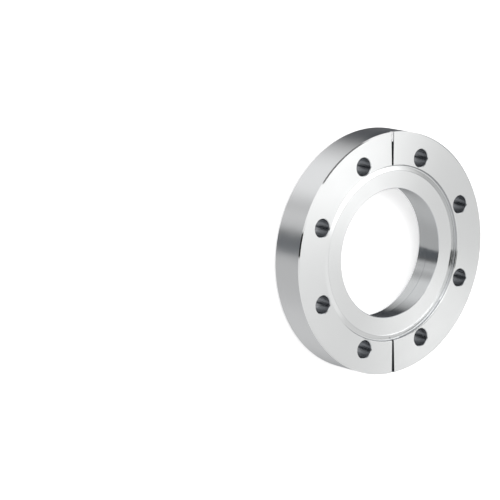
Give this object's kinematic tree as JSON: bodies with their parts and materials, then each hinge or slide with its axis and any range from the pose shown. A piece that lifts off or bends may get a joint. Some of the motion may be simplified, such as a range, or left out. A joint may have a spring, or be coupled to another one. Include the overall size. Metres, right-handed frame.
{
  "type": "knife-edge vacuum flange",
  "caption": "Round stainless steel knife-edge vacuum flange, bored for a welded tube, with through bolt holes and radial leak-check grooves.",
  "frame": {"origin": "centre of the flat back face, on the flange's axis", "axes": "+Z along the axis, from the back face towards the knife edge; +Y towards the first leak-check groove"},
  "size_m": [0.1134, 0.1134, 0.0173],
  "materials": {
    "stainless_steel": "turned and fine-machined"
  },
  "bodies": {
    "root": {"flange": "stainless_steel"}
  },
  "joints": []
}
